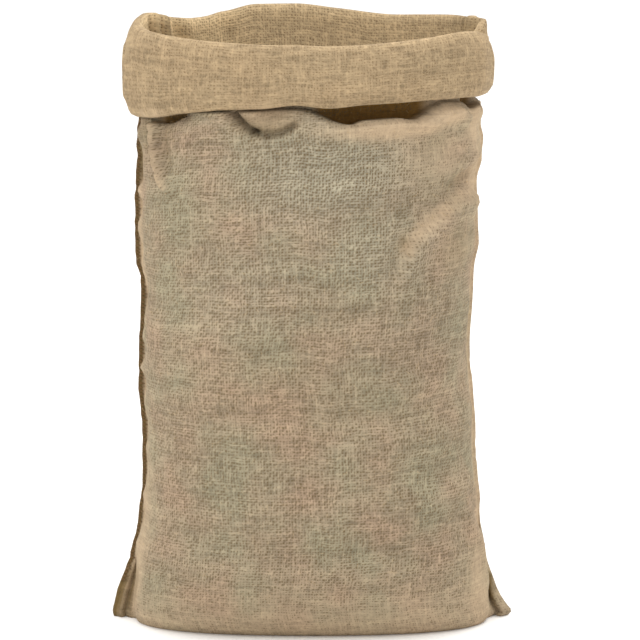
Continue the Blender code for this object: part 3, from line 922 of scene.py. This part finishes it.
def yarns_one_way(add, own, along, lying, sign, openness):
    """The yarns that run one way: how high they stand and how thick they are, all over the cut.

    Own counts these yarns, and along counts the ones they cross. Lying is above nothing where the upright
    yarns lie on top, and the sign is 1 for those and -1 for the level ones.
    """
    shift = 0.0 if sign > 0 else SETS_APART
    # Yarns lie closer together here and wider apart there.
    beside = add("Math", (own, SPACING_WAVES[0]), operation="MULTIPLY")
    spacing = add("Math", (along, SPACING_WAVES[1]), operation="MULTIPLY")
    spacing = add("CombineXYZ", (beside, spacing, shift + SPACING_APART))
    spacing = add("TexNoise", {"Vector": spacing, "Scale": 1.0, "Detail": 1.0})
    across = add("Math", (spacing, SPACING_REACH, own), operation="MULTIPLY_ADD")
    number = add("Math", (across,), operation="FLOOR")
    off_middle = add("Math", (across,), operation="FRACT")
    off_middle = add("Math", (off_middle, 0.5), operation="SUBTRACT")
    # Thick and thin stretches of this one yarn.
    apart = add("Math", (number, SLUB_WAVES[0]), operation="MULTIPLY")
    slow = add("Math", (along, SLUB_WAVES[1]), operation="MULTIPLY")
    slub = add("CombineXYZ", (apart, slow, shift))
    slub = add("TexNoise", {"Vector": slub, "Scale": 1.0, "Detail": 3.0, "Roughness": 0.7})
    thin, thick = (width - lost * openness for width, lost in zip(HALF_WIDTHS, WIDTHS_LOST))
    half_width = {"Value": slub, "From Min": 0.3, "From Max": 0.7, "To Min": thin, "To Max": thick}
    half_width = add("MapRange", half_width)
    # Round from side to side.
    crown = add("Math", (off_middle, half_width), operation="DIVIDE")
    crown = add("Math", (crown, crown), operation="MULTIPLY")
    crown = add("Math", (1.0, crown), operation="SUBTRACT", use_clamp=True)
    crown = add("Math", (crown, 0.5), operation="POWER")
    # Over one crossing yarn and under the next.
    turn = add("Math", (number, math.pi), operation="MULTIPLY")
    turn = add("Math", (turn,), operation="COSINE")
    wave = add("Math", (along, math.pi), operation="MULTIPLY")
    wave = add("Math", (wave,), operation="SINE")
    wave = add("Math", (wave, turn), operation="MULTIPLY")
    wave = add("Math", (wave, WEAVE_RISE * sign), operation="MULTIPLY")
    wave = add("Math", (lying, LYING_RISE * sign, wave), operation="MULTIPLY_ADD")
    return add("Math", (crown, CROWN_RISE, wave), operation="MULTIPLY_ADD"), slub


def evened_tone(add, yarns, tone, lint, own_tone, smooth):
    """How light or dark the yarns are: uneven with their lint and from yarn to yarn, less where smooth."""
    tone = add("Math", (lint, LINT_TONE, tone), operation="MULTIPLY_ADD")
    tone = add("Math", (own_tone, CROSSING_TONE, tone), operation="MULTIPLY_ADD")
    # Level yarns of one tone run on for a hand's breadth and more, so they show as faint bands.
    for waves, detail, roughness, band_tone in BANDS:
        band = add("VectorMath", (yarns, waves), operation="MULTIPLY")
        band = add("TexNoise", {"Vector": band, "Scale": 1.0, "Detail": detail, "Roughness": roughness})
        tone = add("Math", (band, band_tone, tone), operation="MULTIPLY_ADD")
    lit = {"Value": tone, "From Min": 0.775, "From Max": 1.205, "To Min": 0.62, "To Max": 1.38}
    lit = add("MapRange", lit)
    calm = add("Math", (smooth, CALM), operation="MULTIPLY")
    return add("Mix", (calm, lit, 1.0), data_type="FLOAT")


def yarns_shown(add, top, closing_parts, smooth, openness):
    """Where the yarns show and not the gaps, which are wide in some places and nearly shut in others."""
    closing = -0.1
    for part, weight in closing_parts:
        closing = add("Math", (part, weight, closing), operation="MULTIPLY_ADD")
    widest = 0.15 + 0.40 * openness
    shut = {"Value": closing, "From Min": -1.0, "From Max": 0.0, "To Min": -0.5, "To Max": widest}
    shut = add("MapRange", shut)
    clear = add("Math", (shut, 1.0), operation="ADD")
    shown = {"Value": top, "From Min": shut, "From Max": clear}
    shown = add("MapRange", shown, interpolation_type="SMOOTHSTEP")
    covered = add("Math", (smooth, COVERED), operation="MULTIPLY")
    return add("Math", (shown, covered), operation="MAXIMUM")


def woven_hessian(name, settings, face):
    """Plain woven jute sacking: thick, uneven, dull yarns with small dark gaps between them.

    The yarns run up and across the flat cut, so the pattern reads the cut's own UV map, in metres. Each
    yarn has its own tone and thickness, which give the speckled, streaky look of sacking. The gap colour
    is what shows through between yarns. The tones attribute says where the cloth is smooth, lighter in
    places as painted light; where it has the face's tint, pale inside as painted light; where it is brown,
    at the seam and as painted shade in folds; and where it lies in a hollow, darkened as painted shade.
    """
    material, add = start_material(name)
    cut = add("UVMap", uv_map="cut")
    shares = add("Attribute", attribute_name="tones")
    smooth, tinted, brown = add("SeparateColor", (shares,)).outputs
    # How much painted shade darkens the cloth in the hollow under the cuff.
    hollow = shares.outputs["Alpha"]
    # The yarns wander a little over hand's breadths.
    wander = add("TexNoise", {"Vector": cut, "Scale": 1 / WANDER_SIZE, "Detail": 4.0, "Roughness": 0.65})
    wander = add("VectorMath", (wander.outputs["Color"], (0.5, 0.5, 0.5)), operation="SUBTRACT")
    wander = add("VectorMath", {0: wander, "Scale": WANDER_REACH * settings.yarn_pitch}, operation="SCALE")
    place = add("VectorMath", (cut, wander), operation="ADD")
    yarns = add("VectorMath", {0: place, "Scale": 1 / settings.yarn_pitch}, operation="SCALE")
    over, up, _ = add("SeparateXYZ", (yarns,)).outputs
    # Each crossing of two yarns has a tone and a gap of its own.
    crossing = add("VectorMath", (yarns,), operation="FLOOR")
    chance = add("TexWhiteNoise", (crossing,), noise_dimensions="3D")
    own_tone, own_gap, _ = add("SeparateColor", (chance.outputs["Color"],)).outputs
    # Here the upright yarns lie on top for a stretch, and there the level ones do.
    lying = add("TexNoise", {"Vector": cut, "Scale": 1 / LYING_SIZE, "Detail": 3.0})
    lying = add("Math", (lying, 0.5), operation="SUBTRACT")
    warp, warp_slub = yarns_one_way(add, over, up, lying, 1, face.openness)
    weft, weft_slub = yarns_one_way(add, up, over, lying, -1, face.openness)
    top = add("Math", (warp, weft), operation="MAXIMUM")
    # Both yarns give the tone, the one on top a little more, so each runs on as a streak.
    share = add("Math", (weft, warp), operation="GREATER_THAN")
    share = add("Math", (share, *TOP_YARN_TONE), operation="MULTIPLY_ADD")
    tone = add("Mix", (share, warp_slub, weft_slub), data_type="FLOAT")
    lint = add("TexNoise", {"Vector": cut, "Scale": 1 / LINT_SIZE, "Detail": 2.0, "Roughness": 0.6})
    lit = evened_tone(add, yarns, tone, lint, own_tone, smooth)
    # Broad, faint greenish and pinkish patches, as undyed jute has.
    tinge = add("TexNoise", {"Vector": cut, "Scale": 1 / TINGE_SIZE, "Detail": 2.0})
    tinge = add("MapRange", {"Value": tinge, "From Min": 0.35, "From Max": 0.65})
    yarn = face.dull
    # The smooth colour paints light in places, and the hollow and brown colours paint shade.
    for share, colour_there in (
        (tinge, face.yarn),
        (tinted, face.tint),
        (smooth, settings.smooth_and_lit_colour),
        (hollow, settings.hollow_shade_colour),
        (brown, settings.seam_and_shade_colour),
    ):
        yarn = add("Mix", (share, yarn, colour_there), data_type="RGBA")
    yarn = add("VectorMath", {0: yarn, "Scale": lit}, operation="SCALE")
    gaps = add("TexNoise", {"Vector": cut, "Scale": 1 / CLOSING_SIZE, "Detail": 2.0})
    closing = ((gaps, -1.1), (own_gap, 0.8), (smooth, -0.8), (tinted, 0.3))
    shown = yarns_shown(add, top, closing, smooth, face.openness)
    base = add("Mix", (shown, face.gap, yarn), data_type="RGBA")
    relief = add("Math", (lint, LINT_RISE, top), operation="MULTIPLY_ADD")
    depth = add("MapRange", {"Value": smooth, "To Min": 0.45, "To Max": 0.2})
    bump = add("Bump", {"Strength": depth, "Distance": BUMP_HEIGHT, "Height": relief})
    shader = add("BsdfPrincipled", {
        "Base Color": base, "Roughness": 0.95, "Normal": bump, "Specular IOR Level": 0.2,
        "Sheen Weight": 0.08, "Sheen Roughness": 0.5, "Sheen Tint": colour(SHEEN_HEX),
    })
    add("OutputMaterial", (shader,))
    return material


def twisted_jute(name, dark, light):
    """Jute thread or fibre: dull, with a slight shine along its twist, and uneven in tone."""
    material, add = start_material(name)
    where = add("TexCoord").outputs["Object"]
    uneven = add("TexNoise", {"Vector": where, "Scale": 1 / TWIST_SIZE, "Detail": 3.0})
    base = add("Mix", (uneven, dark, light), data_type="RGBA")
    bump = add("Bump", {"Strength": 0.6, "Distance": TWIST_HEIGHT, "Height": uneven})
    shader = add("BsdfPrincipled", {
        "Base Color": base, "Roughness": 0.8, "Normal": bump, "Specular IOR Level": 0.3,
    })
    add("OutputMaterial", (shader,))
    return material


def add_strands(name, paths, radius, sides, material):
    """Make one piece of many round strands, each of them along its own path."""
    deselect_all()
    bpy.ops.curve.primitive_nurbs_path_add(radius=1, location=(0, 0, 0))
    strands = bpy.context.object
    strands.name = name
    curve = strands.data
    curve.splines.clear()
    for path in paths:
        spline = curve.splines.new("POLY")
        spline.points.add(len(path) - 1)
        for point, at in zip(spline.points, path):
            point.co = (*(np.asarray(at) * MM), 1)
            point.radius = 1
    curve.bevel_depth = radius
    curve.bevel_resolution = sides // 2 - 2  # Blender gives a bevel four sides at 0, and two more a step
    curve.use_fill_caps = True
    curve.materials.append(material)
    bpy.ops.object.convert(target="MESH")
    bpy.ops.object.shade_smooth()
    return bpy.context.object


def add_cloth(settings):
    """Lay the cut cloth out flat, hang it, join its seams and give it its thickness."""
    places, ups, rows, tones = hung_cloth(settings.cloth_thickness / MM)
    across = len(places)
    up = len(rows) - 1
    deselect_all()
    bpy.ops.mesh.primitive_grid_add(x_subdivisions=across, y_subdivisions=up, size=1, location=(0, 0, 0))
    cloth = bpy.context.object
    cloth.name = "sack_cloth"
    mesh = cloth.data
    flat = np.empty(len(mesh.vertices) * 3)
    mesh.vertices.foreach_get("co", flat)
    flat = flat.reshape(-1, 3)
    column = np.rint((flat[:, 0] + 0.5) * across).astype(int)
    row = np.rint((flat[:, 1] + 0.5) * up).astype(int)
    mesh.vertices.foreach_set("co", (rows[row, column % across] * MM).ravel())
    corners = np.empty(len(mesh.loops), int)
    mesh.loops.foreach_get("vertex_index", corners)
    stops = np.r_[places, CUT_WIDTH]
    cut = np.stack([stops[column[corners]], ups[row[corners]]], axis=1) * MM
    layer = mesh.uv_layers[0]
    layer.name = "cut"
    layer.data.foreach_set("uv", cut.ravel())
    shares = mesh.color_attributes.new("tones", "FLOAT_COLOR", "POINT")
    shares.data.foreach_set("color", tones[row, column % across].ravel())
    bpy.ops.object.mode_set(mode="EDIT")
    bpy.ops.mesh.select_all(action="SELECT")
    bpy.ops.mesh.remove_doubles(threshold=WELD * MM)
    bpy.ops.object.mode_set(mode="OBJECT")
    bpy.ops.object.shade_smooth()
    outside = (settings.yarn_colour, colour(OUTSIDE_DULL_HEX), settings.grey_colour, settings.gap_colour)
    # The inside's tint is its pale yarn, a painted light.
    inside = (settings.inside_colour, *(colour(value) for value in INSIDE_HEXES))
    mesh.materials.append(woven_hessian("hessian_outside", settings, Face(*outside, OUTSIDE_OPEN)))
    mesh.materials.append(woven_hessian("hessian_inside", settings, Face(*inside, INSIDE_OPEN)))
    shell = cloth.modifiers.new("thickness", "SOLIDIFY")
    shell.thickness = settings.cloth_thickness
    shell.offset = 0.0
    shell.use_quality_normals = True
    shell.material_offset = 1
    bpy.ops.object.modifier_apply(modifier="thickness")
    return cloth


# ---------------------------------------------------------------- the stage

FLOOR_RADIUS = 14
FLOOR_SIDES = 96
SKY_STRENGTH = 0.7
Lamp = namedtuple("Lamp", "name place size power")
LAMPS = rows_of(Lamp, (
    ("key", (-2.9, -1.8, 1.7), 1.8, 26),
    ("fill", (3.0, -1.5, 1.8), 1.8, 9),
    ("low", (0.2, -2.4, 0.12), 2.0, 9),
    ("back", (2.2, 2.8, 1.7), 1.6, 16),
    ("top", (0.0, 0.3, 4.4), 6.0, 290),
))
LAMPS_AIM = Vector((0, 0, 0.34))
CAMERA_AWAY = 6.0
CAMERA_ELEVATION = math.radians(12.2)
CAMERA_AIM = Vector((0, 0, 0.3195))
VIEW_WIDTH = 0.672  # what the picture takes in across the sack
SENSOR = 36.0
SACK_MIDDLE_AT = 312.15 / 640  # the origin's place across the picture


def add_floor():
    """Lay a round floor with a plain, matt, pale finish, which takes the sack's soft shadow."""
    deselect_all()
    bpy.ops.mesh.primitive_circle_add(
        vertices=FLOOR_SIDES, radius=FLOOR_RADIUS, fill_type="NGON", location=(0, 0, 0)
    )
    floor = bpy.context.object
    floor.name = "floor"
    material, add = start_material("pale_floor")
    add("OutputMaterial", (add("BsdfPrincipled", {"Base Color": colour(FLOOR_HEX), "Roughness": 0.9}),))
    floor.data.materials.append(material)
    return floor


def add_lights(scene):
    """Light the sack softly from all sides, most of all from above and from the left."""
    world = bpy.data.worlds.new("studio")
    world.use_nodes = True
    world.node_tree.nodes["Background"].inputs["Color"].default_value = (1, 1, 1, 1)
    world.node_tree.nodes["Background"].inputs["Strength"].default_value = SKY_STRENGTH
    scene.world = world
    for name, place, size, power in LAMPS:
        lamp = bpy.data.lights.new(name, "AREA")
        lamp.size = size
        lamp.energy = power
        light = bpy.data.objects.new(name, lamp)
        light.location = place
        light.rotation_euler = (LAMPS_AIM - light.location).to_track_quat("-Z", "Y").to_euler()
        scene.collection.objects.link(light)


def add_camera(scene):
    """Stand the camera where the photograph was taken from, with a long lens."""
    back = Vector((0, -math.cos(CAMERA_ELEVATION), math.sin(CAMERA_ELEVATION)))
    lens = bpy.data.cameras.new("camera")
    lens.sensor_width = SENSOR
    lens.lens = SENSOR * CAMERA_AWAY / VIEW_WIDTH
    lens.shift_x = 0.5 - SACK_MIDDLE_AT
    lens.clip_end = 60
    camera = bpy.data.objects.new("camera", lens)
    camera.location = CAMERA_AIM + back * CAMERA_AWAY
    camera.rotation_euler = (-back).to_track_quat("-Z", "Y").to_euler()
    scene.collection.objects.link(camera)
    scene.camera = camera


# ---------------------------------------------------------------- settings, operators and panel

# What the colours have in common: the panel shows a picker for each.
AS_COLOUR = {"subtype": "COLOR", "size": 4, "min": 0.0, "max": 1.0}


class SackSettings(bpy.types.PropertyGroup):
    """Sizes and colours of the sack that a user would change."""

    cloth_thickness: bpy.props.FloatProperty(
        name="Cloth thickness", description="Thickness of the sacking", default=0.0013, unit="LENGTH"
    )
    yarn_pitch: bpy.props.FloatProperty(
        name="Yarn pitch", description="Distance from one yarn to the next", default=0.0031, unit="LENGTH"
    )
    yarn_colour: bpy.props.FloatVectorProperty(
        name="Yarn colour", description="The outside's yarn", default=colour("#9C8770"), **AS_COLOUR
    )
    grey_colour: bpy.props.FloatVectorProperty(
        name="Grey colour", description="The greyer yarn of the upper front", default=colour("#99917C"),
        **AS_COLOUR,
    )
    # Also painted light, on the creases' crests and on the dome and shoulder under the cuff.
    smooth_and_lit_colour: bpy.props.FloatVectorProperty(
        name="Smooth colour", description="The yarn where it is rubbed smooth", default=colour("#B29B7E"),
        **AS_COLOUR,
    )
    gap_colour: bpy.props.FloatVectorProperty(
        name="Gap colour", description="What shows between the yarns", default=colour("#68573F"), **AS_COLOUR
    )
    # Also painted shade, in folds, in the pockets under the cuff and up the seam edge.
    seam_and_shade_colour: bpy.props.FloatVectorProperty(
        name="Seam edge colour", description="The cloth under the thread", default=colour("#63502F"),
        **AS_COLOUR,
    )
    # Painted shade of the cloth in the hollow under the cuff.
    hollow_shade_colour: bpy.props.FloatVectorProperty(
        name="Hollow colour", description="The cloth in the hollow under the cuff",
        default=colour("#82602F"), **AS_COLOUR,
    )
    inside_colour: bpy.props.FloatVectorProperty(
        name="Inside colour", description="The yarn inside and on the cuff", default=colour("#A08B6C"),
        **AS_COLOUR,
    )
    thread_colour: bpy.props.FloatVectorProperty(
        name="Thread colour", description="The overlock thread", default=colour("#5C4429"), **AS_COLOUR
    )
    stitch_pitch: bpy.props.FloatProperty(
        name="Stitch pitch", description="Distance from one stitch to the next", default=0.0042, unit="LENGTH"
    )
    thread_radius: bpy.props.FloatProperty(
        name="Thread radius", description="Radius of the overlock thread", default=0.0006, unit="LENGTH"
    )
    fibre_count: bpy.props.IntProperty(
        name="Loose fibres", description="How many loose fibres stand off the cloth", default=2600
    )


class SACK_OT_overlock(bpy.types.Operator):
    """Sew the overlock thread up the seam edge and the left ear"""

    bl_idname = "sack.overlock"
    bl_label = "Overlock thread"

    def execute(self, context):
        settings = context.scene.sack
        hung = hung_cloth(settings.cloth_thickness / MM)
        off = (settings.cloth_thickness / 2 + settings.thread_radius) / MM
        path = overlock_path(hung, settings.stitch_pitch / MM, off)
        jute = twisted_jute("overlock_thread", settings.thread_colour, colour(THREAD_LIGHT_HEX))
        thread = add_strands("seam_thread", [path], settings.thread_radius, THREAD_SIDES, jute)
        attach(thread, "root")
        return {"FINISHED"}


class SACK_OT_fibres(bpy.types.Operator):
    """Raise the loose fibres that stand off the sacking"""

    bl_idname = "sack.fibres"
    bl_label = "Loose fibres"

    def execute(self, context):
        settings = context.scene.sack
        hung = hung_cloth(settings.cloth_thickness / MM)
        jute = twisted_jute("jute_fibre", colour(FIBRE_DARK_HEX), colour(FIBRE_LIGHT_HEX))
        paths = fibre_paths(hung, settings.fibre_count)
        fibres = add_strands("loose_fibres", paths, FIBRE_RADIUS * MM, FIBRE_SIDES, jute)
        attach(fibres, "root")
        return {"FINISHED"}


class SACK_OT_cloth(bpy.types.Operator):
    """Make the sack's cloth: body, bottom, ears, seam edge and turned-down cuff"""

    bl_idname = "sack.cloth"
    bl_label = "Cloth"

    def execute(self, context):
        on_it = [context.scene.objects.get(name) for name in ("seam_thread", "loose_fibres")]
        if None in on_it:
            raise RuntimeError("The overlock thread and the loose fibres are made before the cloth.")
        cloth = add_cloth(context.scene.sack)
        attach(cloth, "root")
        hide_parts(SACK_NODE)
        return {"FINISHED"}


class SACK_OT_stage(bpy.types.Operator):
    """Make the floor, the lights and the camera"""

    bl_idname = "sack.stage"
    bl_label = "Stage"

    def execute(self, context):
        scene = context.scene
        floor = add_floor()
        add_lights(scene)
        add_camera(scene)
        scene.view_settings.view_transform = "Standard"
        return {"FINISHED"}


class SACK_PT_panel(bpy.types.Panel):
    """Lists the sack's pieces and its settings"""

    bl_label = "Hessian sack"
    bl_idname = "SACK_PT_panel"
    bl_space_type = "VIEW_3D"
    bl_region_type = "UI"
    bl_category = "Sack"

    def draw(self, context):
        settings = context.scene.sack
        for name in SackSettings.__annotations__:
            self.layout.prop(settings, name)
        for operator in OPERATORS:
            self.layout.operator(operator.bl_idname)


OPERATORS = (SACK_OT_overlock, SACK_OT_fibres, SACK_OT_cloth, SACK_OT_stage)
CLASSES = (SackSettings, *OPERATORS, SACK_PT_panel)


def register():
    """Register the settings, the operators and the panel."""
    for item in CLASSES:
        bpy.utils.register_class(item)
    bpy.types.Scene.sack = bpy.props.PointerProperty(type=SackSettings)


def unregister():
    """Take the panel, the operators and the settings away again."""
    del bpy.types.Scene.sack
    for item in reversed(CLASSES):
        bpy.utils.unregister_class(item)


def main():
    """Make every piece in order."""
    register()
    bpy.ops.sack.overlock()
    bpy.ops.sack.fibres()
    bpy.ops.sack.cloth()
    bpy.ops.sack.stage()


if __name__ == "__main__":
    main()
